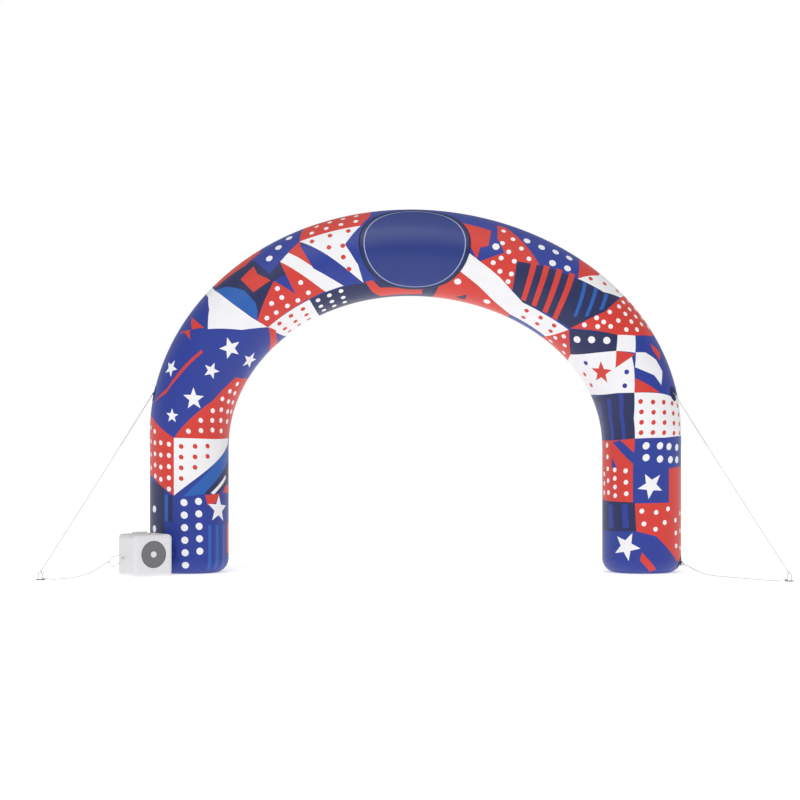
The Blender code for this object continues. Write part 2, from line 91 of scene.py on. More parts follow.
# Ropes and knots
KNOT_END = 0.0113  # from a knot's middle to the start of its rope
KNOT_TURNS = 3
KNOT_POINTS = 55
KNOT_LENGTH = 0.015
KNOT_REACH = 0.0046
KNOT_ROPE = 0.0034
KNOT_ROPE_LENGTH = 0.09
GUY_SAG = 0.006
GUY_ROUTE_POINTS = 16
ROUTE_STEP = 0.025
LAY_PITCH = 0.026

# Studio
CAMERA_PLACE = Vector((-0.133, -22.0, 1.48))
CAMERA_LENS = 115.1
FLOOR_HALF = 60.0


# ---------------------------------------------------------------- the tube's shape

def bend_lines(angle):
    """Outer and inner points (x, z) of the bend, at angles in radians from its left end."""
    lean = CROWN_LEAN * np.sin(angle) ** 3
    outer = np.array([lean - OUTER_HALF * np.cos(angle), OUTER_SPRING + OUTER_RISE * np.sin(angle)])
    inner = np.array([lean - INNER_HALF * np.cos(angle), INNER_SPRING + INNER_RISE * np.sin(angle)])
    return outer, inner


def travel_table(samples=721):
    """Bend angles, and the length of the tube's centre line up to each of them."""
    angles = np.linspace(0.0, math.pi, samples)
    centre = sum(bend_lines(angles)) / 2
    steps = np.hypot(*np.diff(centre, axis=1))
    return angles, np.concatenate([[0.0], np.cumsum(steps)])


ANGLES, LENGTHS = travel_table()
BEND_LENGTH = LENGTHS[-1]
TUBE_LENGTH = 2 * LEG_LENGTH + BEND_LENGTH


def sections(travel):
    """Centres, directions to the outer side and radii of the tube, at distances from its left end."""
    travel = np.atleast_1d(np.asarray(travel, float))
    side = np.where(travel > LEG_LENGTH + BEND_LENGTH, -1.0, 1.0)
    along = np.where(side < 0, TUBE_LENGTH - travel, travel)
    on_leg = along < LEG_LENGTH
    share = np.clip((along - FOOT_ROUND) / (LEG_LENGTH - FOOT_ROUND), 0, None)
    slope = share * (OUTER_SPRING - INNER_SPRING) / 2
    outer, inner = bend_lines(np.interp(along - LEG_LENGTH, LENGTHS, ANGLES))
    outer = np.where(on_leg, [np.full_like(along, -OUTER_HALF), along + slope], outer)
    inner = np.where(on_leg, [np.full_like(along, -INNER_HALF), along - slope], inner)
    centre = (outer + inner) / 2
    span = outer - inner
    length = np.hypot(*span)
    drop = np.clip(FOOT_ROUND - along, 0, FOOT_ROUND)
    radius = length / 2 - FOOT_ROUND + np.sqrt(FOOT_ROUND**2 - drop**2)
    nought = np.zeros_like(along)
    centres = np.stack([centre[0] * side, nought, centre[1]], axis=1)
    outward = np.stack([span[0] * side, nought, span[1]], axis=1) / length[:, None]
    return centres, outward, radius


def on_tube(travel, angle):
    """Points on the tube in the row frame. The angle is 0 in front and a quarter turn at the outer side."""
    centres, outward, radius = sections(travel)
    angle = np.broadcast_to(np.asarray(angle, float), radius.shape)
    normal = outward * np.sin(angle)[:, None] - np.array([[0, 1, 0]]) * np.cos(angle)[:, None]
    return centres + normal * radius[:, None] + np.array(MIDDLE)


def tube_normals(travel, angle):
    """Unit normals of the tube's true surface."""
    step = 2e-4
    low = np.clip(travel - step, 0, TUBE_LENGTH)
    high = np.clip(travel + step, 0, TUBE_LENGTH)
    ahead = on_tube(high, angle) - on_tube(low, angle)
    turned = on_tube(travel, angle + step) - on_tube(travel, angle - step)
    normal = np.cross(ahead, turned)
    return normal / np.linalg.norm(normal, axis=1, keepdims=True)


def stretch_along(travel, angle):
    """Metres of surface for each metre along the centre line."""
    step = 1e-3
    return float(np.linalg.norm(on_tube(travel + step, angle) - on_tube(travel - step, angle)) / (2 * step))


# ---------------------------------------------------------------- small helpers

def new_object(name, data):
    """Links an object at the origin."""
    thing = bpy.data.objects.new(name, data)
    bpy.context.scene.collection.objects.link(thing)
    return thing


def settle(piece, slot, *nodes):
    """Makes a finished piece ride on the arch and stand for its CAD nodes. Its slot is not used."""
    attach(piece, BODY)
    if nodes:
        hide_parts(*nodes)
    return piece


def plain_mesh(thing):
    """Replaces an object by its evaluated result as a plain mesh, with no modifier left."""
    bpy.context.view_layer.update()
    graph = bpy.context.evaluated_depsgraph_get()
    mesh = bpy.data.meshes.new_from_object(
        thing.evaluated_get(graph), preserve_all_data_layers=True, depsgraph=graph
    )
    name = thing.name
    bpy.data.objects.remove(thing, do_unlink=True)
    mesh.name = name
    return new_object(name, mesh)


def set_input(modifier, name, value):
    """Sets a Geometry Nodes input by the identifier of the socket with this name."""
    for item in modifier.node_group.interface.items_tree:
        if item.item_type == "SOCKET" and item.in_out == "INPUT" and item.name == name:
            modifier[item.identifier] = value
            return
    raise KeyError(name)


class Tree:
    """A Geometry Nodes tree under construction."""

    def __init__(self, name, inputs):
        self.tree = bpy.data.node_groups.new(name, "GeometryNodeTree")
        sockets = self.tree.interface
        for label, socket, default in inputs:
            made = sockets.new_socket(label, in_out="INPUT", socket_type=f"NodeSocket{socket}")
            if default is not None:
                made.default_value = default
        sockets.new_socket("Geometry", in_out="OUTPUT", socket_type="NodeSocketGeometry")
        self.given = self.tree.nodes.new("NodeGroupInput").outputs
        self.output = self.tree.nodes.new("NodeGroupOutput")

    def node(self, kind, links=(), **settings):
        """A node with its settings, and its inputs linked or set."""
        made = self.tree.nodes.new(kind)
        for key, value in settings.items():
            setattr(made, key, value)
        self.feed(made, links)
        return made

    def feed(self, node, links):
        """Links each input to a socket, or sets it to a value."""
        for key, value in dict(links).items():
            socket = node.inputs[key]
            if isinstance(value, bpy.types.NodeSocket):
                self.tree.links.new(value, socket)
            else:
                socket.default_value = value

    def maths(self, operation, *values):
        """One step of arithmetic."""
        return self.node("ShaderNodeMath", enumerate(values), operation=operation).outputs[0]

    def scaled(self, vector, scale):
        """A vector times a number."""
        return self.node("ShaderNodeVectorMath", {0: vector, "Scale": scale}, operation="SCALE").outputs[0]

    def added(self, first, second):
        """The sum of two vectors."""
        return self.node("ShaderNodeVectorMath", {0: first, 1: second}, operation="ADD").outputs[0]

    def finish(self, geometry):
        """Realizes the instances, sets the material and ends the tree."""
        real = self.node("GeometryNodeRealizeInstances", {"Geometry": geometry})
        painted = self.node("GeometryNodeSetMaterial",
                            {"Geometry": real.outputs[0], "Material": self.given["Material"]})
        self.tree.links.new(painted.outputs[0], self.output.inputs[0])
        return self.tree


# ---------------------------------------------------------------- wrapping flat cloth on the tube

def wrap_tree():
    """Wraps flat cut cloth (metres along, metres round, lift) onto the tube, along its centre line."""
    tree = Tree("Wrap on the tube", [("Geometry", "Geometry", None), ("Centre line", "Object", None),
                                     ("Girth", "Float", GIRTH), ("Material", "Material", None)])
    given = tree.given
    line = tree.node("GeometryNodeObjectInfo", {"Object": given["Centre line"]})
    curve = tree.node("GeometryNodeMeshToCurve", {"Mesh": line.outputs["Geometry"]})
    place = tree.node("GeometryNodeInputPosition")
    flat = tree.node("ShaderNodeSeparateXYZ", {"Vector": place.outputs[0]})

    def sampled(attribute, kind):
        """The centre line's own attribute, at each point's distance along it."""
        value = tree.node("GeometryNodeInputNamedAttribute", {"Name": attribute}, data_type=kind)
        sample = tree.node("GeometryNodeSampleCurve", {"Curves": curve.outputs[0], "Length": flat.outputs[0]},
                           mode="LENGTH", data_type=kind, use_all_curves=True)
        tree.tree.links.new(value.outputs[0], sample.inputs["Value"])
        return sample.outputs

    outward = sampled("outward", "FLOAT_VECTOR")
    bore = sampled("bore", "FLOAT")
    angle = tree.maths("DIVIDE", flat.outputs[1], given["Girth"])
    side = tree.scaled(outward["Value"], tree.maths("SINE", angle))
    front = tree.scaled((0.0, -1.0, 0.0), tree.maths("COSINE", angle))
    reach = tree.maths("ADD", bore["Value"], flat.outputs[2])
    final = tree.added(outward["Position"], tree.scaled(tree.added(side, front), reach))
    moved = tree.node("GeometryNodeSetPosition", {"Geometry": given["Geometry"], "Position": final})
    return tree.finish(moved.outputs[0])


def foot_travels(steps):
    """Distances over the rounded foot, close together at the ground."""
    return FOOT_ROUND * (1 - np.cos(np.linspace(0, math.pi / 2, steps)))


def centre_line():
    """The tube's centre line as a mesh of edges, with its outward direction and bore at each point."""
    name = "tube_centre_line"
    if name in bpy.data.objects:
        return bpy.data.objects[name]
    foot = foot_travels(LINE_FOOT_POINTS)
    travels = np.concatenate([foot[:-1], np.linspace(FOOT_ROUND, TUBE_LENGTH - FOOT_ROUND, LINE_POINTS),
                              (TUBE_LENGTH - foot)[::-1][1:]])
    centres, outward, radius = sections(travels)
    mesh = bpy.data.meshes.new(name)
    edges = [(k, k + 1) for k in range(len(travels) - 1)]
    mesh.from_pydata((centres + np.array(MIDDLE)).tolist(), edges, [])
    mesh.attributes.new("outward", "FLOAT_VECTOR", "POINT").data.foreach_set("vector", outward.ravel())
    mesh.attributes.new("bore", "FLOAT", "POINT").data.foreach_set("value", radius)
    line = new_object(name, mesh)
    line.hide_render = True
    return line


def wrap(thing, material):
    """Wraps a flat piece onto the tube and returns it as a plain mesh."""
    modifier = thing.modifiers.new("wrap", "NODES")
    modifier.node_group = bpy.data.node_groups.get("Wrap on the tube") or wrap_tree()
    set_input(modifier, "Centre line", centre_line())
    set_input(modifier, "Girth", GIRTH)
    set_input(modifier, "Material", material)
    return plain_mesh(thing)


# ---------------------------------------------------------------- materials

NOISE_DETAIL = 4.0
ROUGHNESS_SHIFT = 0.06
BUMP_STRENGTH = 0.4

def linear(red, green, blue):
    """A colour given in 0 to 255 steps, as linear light."""
    steps = (red, green, blue)
    return tuple(((c / 255 + 0.055) / 1.055) ** 2.4 if c > 10 else c / 255 / 12.92 for c in steps)


def uneven(tree, noise, low, high):
    """The noise's value, spread from low to high."""
    spread = tree.nodes.new("ShaderNodeMapRange")
    spread.inputs["To Min"].default_value = low
    spread.inputs["To Max"].default_value = high
    tree.links.new(noise, spread.inputs["Value"])
    return spread.outputs["Result"]


def weave_height(tree, scale):
    """Relief of crossing threads, on the cloth's own flat map."""
    cloth = tree.nodes.new("ShaderNodeUVMap")
    cloth.uv_map = "cloth"
    joined = tree.nodes.new("ShaderNodeMath")
    joined.operation = "MAXIMUM"
    for direction, socket in zip("XY", joined.inputs):
        threads = tree.nodes.new("ShaderNodeTexWave")
        threads.bands_direction = direction
        threads.inputs["Scale"].default_value = scale
        tree.links.new(cloth.outputs["UV"], threads.inputs["Vector"])
        tree.links.new(threads.outputs["Fac"], socket)
    return joined.outputs[0]


def surface(name, colour, roughness, scale, depth, shift=0.12, weave=0.0, constants=()):
    """A procedural finish: uneven colour and roughness, and fine relief from noise or a weave."""
    material = bpy.data.materials.new(name)
    material.use_nodes = True
    tree = material.node_tree
    shader = tree.nodes["Principled BSDF"]
    for socket, value in dict(constants).items():
        shader.inputs[socket].default_value = value
    place = tree.nodes.new("ShaderNodeTexCoord")
    spots = tree.nodes.new("ShaderNodeTexNoise")
    spots.inputs["Scale"].default_value = scale
    spots.inputs["Detail"].default_value = NOISE_DETAIL
    tree.links.new(place.outputs["Object"], spots.inputs["Vector"])
    tone = tree.nodes.new("ShaderNodeVectorMath")
    tone.operation = "SCALE"
    tone.inputs[0].default_value = colour
    tree.links.new(uneven(tree, spots.outputs["Fac"], 1 - shift, 1 + shift), tone.inputs["Scale"])
    tree.links.new(tone.outputs[0], shader.inputs["Base Color"])
    matt = uneven(tree, spots.outputs["Fac"], roughness - ROUGHNESS_SHIFT, roughness + ROUGHNESS_SHIFT)
    tree.links.new(matt, shader.inputs["Roughness"])
    bump = tree.nodes.new("ShaderNodeBump")
    bump.inputs["Strength"].default_value = BUMP_STRENGTH
    bump.inputs["Distance"].default_value = depth
    height = weave_height(tree, weave) if weave else spots.outputs["Fac"]
    tree.links.new(height, bump.inputs["Height"])
    tree.links.new(bump.outputs["Normal"], shader.inputs["Normal"])
    return material


def colour_from(material, attribute, bands=()):
    """Takes a finish's colour from an attribute, or from bands of it that each begin at their own start."""
    tree = material.node_tree
    tone = next(n for n in tree.nodes if n.bl_idname == "ShaderNodeVectorMath")
    reader = tree.nodes.new("ShaderNodeAttribute")
    reader.attribute_name = attribute
    if not bands:
        tree.links.new(reader.outputs["Color"], tone.inputs[0])
        return material
    ramp = tree.nodes.new("ShaderNodeValToRGB")
    ramp.color_ramp.interpolation = "CONSTANT"
    for start, _ in bands[2:]:
        ramp.color_ramp.elements.new(start)
    for element, (start, colour) in zip(ramp.color_ramp.elements, bands):
        element.position = start
        element.color = (*colour, 1)
    tree.links.new(reader.outputs["Fac"], ramp.inputs["Fac"])
    tree.links.new(ramp.outputs["Color"], tone.inputs[0])
    return material


def paint(material, *nodes):
    """Gives a finish to CAD nodes that stay as they are."""
    for name in nodes:
        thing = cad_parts[name]
        thing.data.materials.clear()
        thing.data.materials.append(material)


# ---------------------------------------------------------------- the print: (metres along, degrees round)

COLOURS = {
    "red": linear(214, 52, 40), "royal": linear(26, 52, 150), "navy": linear(14, 30, 84),
    "blue": linear(22, 92, 178), "white": linear(244, 244, 246),
}
PANEL_BLUE = linear(27, 50, 128)
PANEL_BANDS = [(0.0, PANEL_BLUE), (0.895, linear(168, 180, 206)), (0.912, PANEL_BLUE),
               (0.93, linear(16, 32, 84)), (0.985, linear(10, 20, 56))]
DOT = 0.021
STAR_DOT = 0.031
DOT_SIDES = 12
STAR_WAIST = 0.42


class Patch(NamedTuple):
    """A patch of the print. Its dots are (colour, size, rows), and a row is (along, round, along, round, how
    many). Its stars are (colour, along, round, size, turn)."""

    cloth: str
    corners: list
    dots: tuple = ()
    stars: list = ()


def slanted_stripes():
    """Red stripes across the navy patch right of the panel."""
    width = .045
    for k, (top, low) in enumerate([(4.90, 4.97), (5.00, 5.08), (5.10, 5.20), (5.20, 5.31)]):
        yield Patch("red", [(top, 18 + 5 * k), (top + width, 20 + 5 * k), (low + width, -32), (low, -33)])


def curved_stripes():
    """Royal stripes along the navy patch on the inner side of the right leg."""
    for low in (-20, -40, -62):
        yield Patch("royal", [(6.28, low), (6.45, low - 8), (6.69, low - 9), (6.69, low - 15),
                              (6.45, low - 14), (6.26, low - 7)])


# Later patches lie over earlier ones
PATCHES = [
    Patch("royal", [(0, -90), (0, 90), (TUBE_LENGTH, 90), (TUBE_LENGTH, -90)]),
    Patch("navy", [(.33, 34), (.75, 34), (.75, 90), (.33, 90)],
          ("white", STAR_DOT, [(.37, 57, .53, 57, 2)])),
    Patch("blue", [(.44, 28), (.66, 28), (.66, 33), (.44, 33)]),
    Patch("navy", [(.44, 20), (.66, 20), (.66, 27), (.44, 27)]),
    Patch("royal", [(.0, -25), (.66, -25), (.66, 18), (.0, 18)],
          ("white", STAR_DOT, [(.08, 1, .61, 3, 6), (.20, -20, .63, -18, 5)])),
    Patch("blue", [(.04, -33), (.43, -33), (.43, -38), (.04, -38)]),
    Patch("blue", [(.04, -46), (.43, -46), (.43, -52), (.04, -52)]),
    Patch("blue", [(.04, -62), (.43, -62), (.43, -68), (.04, -68)]),
    Patch("navy", [(.15, -74), (.47, -74), (.47, -90), (.15, -90)]),
    Patch("red", [(.17, -76), (.45, -76), (.45, -90), (.17, -90)]),
    Patch("red", [(.60, -32), (.69, -28), (.71, -54), (.64, -52)], (),
          [("white", .57, -52, .12, 20)]),
    Patch("blue", [(.66, 4), (1.20, -80), (1.05, -88), (.70, -30)]),
    Patch("navy", [(.70, -26), (1.04, -84), (.84, -88), (.70, -46)]),
    Patch("white", [(.71, -37), (.88, -70), (.85, -72), (.70, -43)]),
    Patch("red", [(.72, -62), (.79, -72), (.80, -88), (.72, -88)]),
    Patch("white", [(.66, 18), (1.14, 18), (1.235, -82), (1.17, -82)],
          ("red", DOT, [(.81, 7, 1.08, 7, 4), (.92, -13, 1.10, -13, 3), (1.03, -32, 1.12, -32, 2)])),
    Patch("red", [(.66, 18), (.80, 65), (.79, 90), (1.28, 90), (1.25, 62), (1.14, 18)],
          ("white", DOT, [(.71, 26, 1.08, 26, 5), (.78, 41, 1.08, 41, 4), (.80, 54, 1.16, 56, 5),
           (.86, 70, 1.18, 72, 4)])),
    Patch("red", [(1.14, 18), (1.55, -30), (1.85, -50), (1.92, -90), (1.24, -90)],
          ("white", DOT, [(1.22, -3, 1.22, -3, 1), (1.25, -21, 1.34, -19, 2), (1.28, -39, 1.46, -34, 3),
           (1.29, -56, 1.60, -44, 4), (1.40, -68, 1.70, -52, 4), (1.51, -74, 1.80, -60, 4)])),
    Patch("royal", [(1.14, 18), (1.28, 70), (1.28, 90), (2.25, 90), (2.06, 22), (2.43, -37), (2.30, -90),
          (1.92, -90), (1.85, -50), (1.55, -30)], (),
          [("white", 1.31, 23, .062, 10), ("white", 1.50, -3, .095, 0), ("white", 1.65, 46, .078, 25),
           ("white", 1.79, -12, .072, 12), ("white", 2.05, -18, .095, 35), ("white", 2.07, -55, .08, 5)]),
    Patch("red", [(1.36, 66), (1.50, 40), (1.90, 13), (1.88, 10), (1.62, 27), (1.46, 40)]),
    Patch("red", [(1.90, 68), (1.97, 47), (1.91, 36), (1.93, 52)]),
    Patch("red", [(2.05, 62), (2.05, 28), (1.98, 44)]),
    Patch("white", [(2.06, 22), (2.18, 40), (2.24, 60), (2.25, 90), (2.31, 90), (2.31, 60), (2.34, 20),
          (2.38, -12), (2.43, -37), (2.24, -14)]),
    Patch("navy", [(2.31, 90), (2.31, 60), (2.40, -20), (2.73, 9), (3.04, 8), (3.10, 90)]),
    Patch("royal", [(2.66, 60), (2.72, 20), (2.93, 35), (3.04, 45), (3.12, 90), (2.72, 90)],
          ("white", STAR_DOT, [(2.78, 42, 2.98, 64, 3)])),
    Patch("blue", [(2.31, 60), (2.40, 46), (2.48, 22), (2.49, 0), (2.46, -10), (2.40, -20), (2.34, 20)]),
    Patch("red", [(2.33, 66), (2.60, 58), (2.74, 66), (2.78, 90), (2.33, 90)]),
    Patch("red", [(2.51, 40), (2.65, 45), (2.64, 30), (2.70, 12), (2.53, 12)]),
    Patch("red", [(2.40, -20), (2.72, 9), (2.82, -20), (2.84, 28), (3.08, -35), (2.43, -38)],
          ("white", DOT, [(2.48, -26, 2.71, -2, 3), (2.58, -28, 2.70, -15, 2), (2.70, -29, 2.91, -10, 2),
           (2.81, -30, 2.93, -27, 2)])),
    Patch("white", [(2.84, 28), (2.93, 35), (3.06, 3), (3.26, -36), (3.08, -36)]),
    Patch("red", [(2.93, 35), (3.04, 45), (3.07, 0)]),
    Patch("royal", [(3.03, 40), (3.06, 0), (3.26, -36), (3.46, -39)]),
    Patch("white", [(3.04, 45), (3.52, 42), (3.37, 18), (3.43, 0), (3.45, -39)],
          ("red", DOT, [(3.13, 37, 3.42, 37, 3), (3.24, 20, 3.35, 17, 2), (3.33, 2, 3.35, -15, 2)])),
    Patch("red", [(3.04, 45), (3.10, 75), (3.12, 90), (3.62, 90), (3.60, 60), (3.52, 42)],
          ("white", DOT, [(3.15, 53, 3.49, 53, 4), (3.20, 67, 3.50, 69, 4)])),
    Patch("royal", [(3.37, 18), (3.52, 42), (3.60, 60), (3.85, 90), (4.1, 90), (4.1, -20), (3.43, -10)]),
    Patch("white", [(2.43, -38), (2.91, -37), (2.92, -90), (2.52, -90)],
          ("red", DOT, [(2.54, -45, 2.81, -46, 3), (2.55, -60, 2.81, -60, 3), (2.57, -75, 2.81, -75, 3)])),
    Patch("navy", [(2.91, -37), (3.27, -37), (3.45, -39), (4.2, -40), (4.2, -90), (2.92, -90)],
          ("white", DOT, [(2.98, -44, 3.22, -43, 3), (2.98, -57, 3.22, -56, 3),
           (2.99, -70, 3.22, -69, 3)])),
    Patch("red", [(2.44, -38), (2.47, -50), (2.36, -90), (2.24, -90)]),
    Patch("red", [(3.47, -38), (3.54, -37), (3.60, -52), (4.02, -60), (4.02, -74), (3.60, -76),
          (3.52, -60)]),
    Patch("red", [(4.13, 66), (4.30, 48), (4.52, 45), (4.53, 20), (4.47, 15), (4.47, -2), (4.40, 12),
          (4.30, 20), (4.20, 40)]),
    Patch("navy", [(4.2, 30), (4.40, 12), (4.34, 8), (4.34, -20), (4.2, -40)]),
    Patch("royal", [(4.18, 66), (4.50, 62), (4.52, 48), (4.40, 49), (4.28, 52)]),
    Patch("royal", [(4.52, 60), (4.56, 35), (4.67, 17), (4.53, 15), (4.48, -2), (4.47, 15), (4.53, 20)],
          ("white", STAR_DOT, [(4.59, 22, 4.59, 22, 1)])),
    Patch("red", [(4.55, 62), (4.62, 62), (4.97, 20), (4.79, 12), (4.87, -27), (4.50, -3), (4.67, 17),
          (4.58, 35)],
          ("white", DOT, [(4.61, 52, 4.87, 22, 4), (4.63, 30, 4.77, 11, 3), (4.61, 0, 4.66, 9, 2),
           (4.69, -8, 4.79, -6, 2), (4.79, -17, 4.79, -17, 1)])),
    Patch("royal", [(4.62, 62), (4.80, 90), (5.2, 90), (5.22, 60), (5.28, 31), (4.97, 21)],
          ("white", STAR_DOT, [(4.80, 49, 4.92, 49, 2), (5.03, 54, 5.14, 58, 2), (5.05, 32, 5.17, 37, 2)])),
    Patch("red", [(5.22, 62), (5.20, 90), (5.42, 90), (5.38, 60), (5.28, 32)]),
    Patch("white", [(5.28, 32), (5.39, 64), (5.40, 90), (5.66, 90), (5.65, 66), (5.60, 52), (5.50, 42)],
          ("red", DOT, [(5.36, 46, 5.57, 70, 3)])),
    Patch("navy", [(4.79, 12), (4.97, 20), (5.27, 31), (5.38, -30), (5.00, -36), (4.86, -27)]),
    *slanted_stripes(),
    Patch("navy", [(5.27, 31), (5.50, 42), (5.62, 60), (5.61, 20), (5.50, -29), (5.38, -31)]),
    Patch("blue", [(5.33, 33), (5.36, 34), (5.47, -10), (5.45, -14)]),
    Patch("blue", [(5.42, 38), (5.45, 39), (5.54, 0), (5.52, -4)]),
    Patch("blue", [(5.51, 42), (5.54, 44), (5.59, 20), (5.57, 16)]),
    Patch("white", [(4.34, 8), (4.50, -3), (4.70, -15), (4.86, -27), (5.0, -36), (5.24, -35), (5.50, -32),
          (5.38, -72), (4.95, -69), (4.75, -54), (4.55, -36), (4.33, -20)],
          ("red", DOT, [(5.07, -45, 5.37, -41, 3), (5.08, -60, 5.38, -53, 3)])),
    Patch("red", [(4.33, -20), (4.55, -36), (4.75, -54), (4.95, -69), (4.95, -90), (4.12, -90),
          (4.18, -50)],
          ("white", STAR_DOT, [(4.35, -37, 4.68, -60, 2)])),
    Patch("navy", [(4.36, -70), (4.47, -56), (4.46, -72)]),
    Patch("red", [(5.50, -31), (5.69, -62), (5.73, -90), (5.35, -90), (5.38, -70)],
          ("white", DOT, [(5.51, -45, 5.51, -45, 1), (5.46, -58, 5.58, -57, 2),
           (5.45, -74, 5.63, -73, 2)])),
    Patch("red", [(5.50, -29), (5.61, 20), (5.62, 60), (5.64, 90), (6.0, 90), (5.98, 60), (5.91, 33),
          (5.82, 12)],
          ("white", DOT, [(5.66, 57, 5.87, 58, 4), (5.66, 43, 5.88, 42, 4), (5.64, 25, 5.83, 27, 3),
           (5.60, 6, 5.73, 12, 3), (5.57, -12, 5.66, -1, 2), (5.68, 74, 5.92, 74, 4)])),
    Patch("navy", [(5.50, -30), (5.82, 12), (5.93, -2), (5.69, -62)],
          ("white", STAR_DOT, [(5.62, -34, 5.80, -4, 3)])),
    Patch("white", [(5.82, 12), (5.91, 33), (6.02, 19), (5.92, -2)]),
    Patch("royal", [(5.91, 33), (5.98, 60), (6.0, 90), (6.48, 90), (6.47, 60), (6.40, 33), (6.30, -5),
          (6.11, 8), (6.02, 19)]),
    Patch("white", [(6.02, 20), (6.06, 33), (6.15, 45), (6.25, 48), (6.34, 37), (6.25, 31), (6.19, 20),
          (6.12, 9)]),
    Patch("red", [(6.02, 50), (6.12, 63), (6.17, 52), (6.08, 48)]),
    Patch("red", [(6.20, 3), (6.39, 31), (6.31, -5)]),
    Patch("white", [(5.92, -2), (6.04, -15), (6.03, 12), (6.11, 8), (6.31, -5), (6.25, -28), (6.17, -72),
          (6.16, -90), (5.73, -90), (5.69, -62)],
          ("royal", DOT, [(6.12, -4, 6.22, -14, 2), (5.85, -49, 5.85, -49, 1)]),
          [("red", 6.01, -36, .10, 15)]),
    Patch("red", [(5.92, -2), (6.03, 18), (6.04, -15)],
          ("red", DOT, [(5.94, -66, 6.07, -66, 2)])),
    Patch("white", [(6.31, -5), (6.40, 33), (6.47, 60), (6.48, 90), (6.77, 90), (6.76, 60), (6.73, 10),
          (6.70, -15), (6.52, -14)],
          ("red", DOT, [(6.50, 51, 6.72, 49, 4), (6.47, 34, 6.70, 29, 4), (6.44, 17, 6.68, 11, 4),
           (6.40, 0, 6.66, -6, 4), (6.53, 68, 6.73, 68, 4)])),
    Patch("navy", [(6.31, -5), (6.52, -15), (6.70, -15), (6.67, -90), (6.16, -90), (6.25, -28)]),
    *curved_stripes(),
    Patch("royal", [(6.70, -15), (6.74, 30), (6.76, 90), (7.00, 90), (7.00, 30), (6.96, -18)],
          ("white", STAR_DOT, [(6.84, 57, 6.94, 57, 2), (6.82, 38, 6.93, 41, 2), (6.80, 22, 6.91, 22, 2),
           (6.78, 1, 6.88, 1, 2)])),
    Patch("red", [(7.00, 38), (7.28, 38), (7.28, 90), (7.00, 90)]),
    Patch("royal", [(7.00, 38), (7.28, 38), (7.26, -17), (6.96, -18)], (),
          [("white", 7.12, 8, .115, 28)]),
    Patch("red", [(7.28, 90), (7.80, 90), (7.76, 55), (7.55, 16), (7.50, -13), (7.26, -15), (7.28, 38)],
          ("white", DOT, [(7.43, 53, 7.64, 55, 3), (7.33, 36, 7.44, 30, 2), (7.35, 16, 7.49, 15, 2),
           (7.33, -5, 7.44, -2, 2), (7.38, 70, 7.66, 71, 3)])),
    Patch("red", [(6.70, -15), (6.96, -18), (7.25, -18), (7.21, -90), (6.66, -90)],
          ("white", DOT, [(6.97, -29, 7.17, -28, 3), (6.95, -48, 7.18, -47, 4), (6.72, -66, 7.15, -62, 5),
           (6.98, -76, 7.15, -76, 3)])),
    Patch("royal", [(6.83, -15), (6.93, -16), (6.70, -52), (6.69, -38)]),
    Patch("royal", [(6.83, -54), (6.93, -44), (6.93, -54)]),
    Patch("navy", [(7.25, -15), (7.50, -13), (7.49, -90), (7.21, -90)]),
    Patch("royal", [(7.26, -26), (7.47, -24), (7.47, -34), (7.26, -36)]),
    Patch("royal", [(7.26, -52), (7.47, -50), (7.47, -60), (7.26, -62)]),
    Patch("royal", [(7.50, -13), (7.55, 16), (7.76, 55), (7.80, 90), (TUBE_LENGTH, 90), (TUBE_LENGTH, -90),
          (7.49, -90)], (),
          [("white", 7.63, -28, .125, 8)]),
    Patch("red", [(7.68, -5), (7.83, 18), (7.85, 8), (7.75, -8)]),
]


def round_spot(travel, angle, reach, turn):
    """A place at a true distance and turn from another on the tube, flat: metres along and degrees round."""
    radius = float(sections(travel)[2][0])
    along = travel + reach * math.sin(turn) / stretch_along(travel, math.radians(angle))
    return along, angle + math.degrees(reach * math.cos(turn) / radius)


def dot_outline(travel, angle, size):
    """A dot that is round on the tube."""
    return [round_spot(travel, angle, size, 2 * math.pi * k / DOT_SIDES) for k in range(DOT_SIDES)]


def star_outline(travel, angle, size, turn):
    """A five-pointed star on the tube, turned by some degrees."""
    return [round_spot(travel, angle, size * (1 if k % 2 == 0 else STAR_WAIST), math.radians(turn + 36 * k))
            for k in range(10)]


def row_places(row):
    """The places of a row's dots."""
    start, low, end, high, count = row
    shares = np.linspace(0, 1, count) if count > 1 else [0]
    return [(start + (end - start) * share, low + (high - low) * share) for share in shares]


def print_shapes():
    """Every flat shape of the print in painting order: (colour, outline)."""
    shapes = []
    for patch in PATCHES:
        shapes.append((patch.cloth, patch.corners))
        if patch.dots:
            tint, size, rows = patch.dots
            shapes += [(tint, dot_outline(*place, size)) for row in rows for place in row_places(row)]
        shapes += [(tint, star_outline(*star)) for tint, *star in patch.stars]
    return shapes


def inside(outline, points):
    """Which points lie in an outline."""
    x, y = points[:, 0], points[:, 1]
    result = np.zeros(len(points), bool)
    for (x0, y0), (x1, y1) in zip(outline, np.roll(outline, -1, axis=0)):
        if y0 == y1:
            continue
        crossing = (y0 > y) != (y1 > y)
        result ^= crossing & (x < (x1 - x0) * (y - y0) / (y1 - y0) + x0)
    return result


def flat_outline(outline):
    """An outline in flat metres, kept on the front half of the cloth."""
    flat = np.array([(along, math.radians(angle) * GIRTH) for along, angle in outline])
    flat[:, 0] = np.clip(flat[:, 0], 0, TUBE_LENGTH)
    flat[:, 1] = np.clip(flat[:, 1], -HALF_GIRTH, HALF_GIRTH)
    return flat


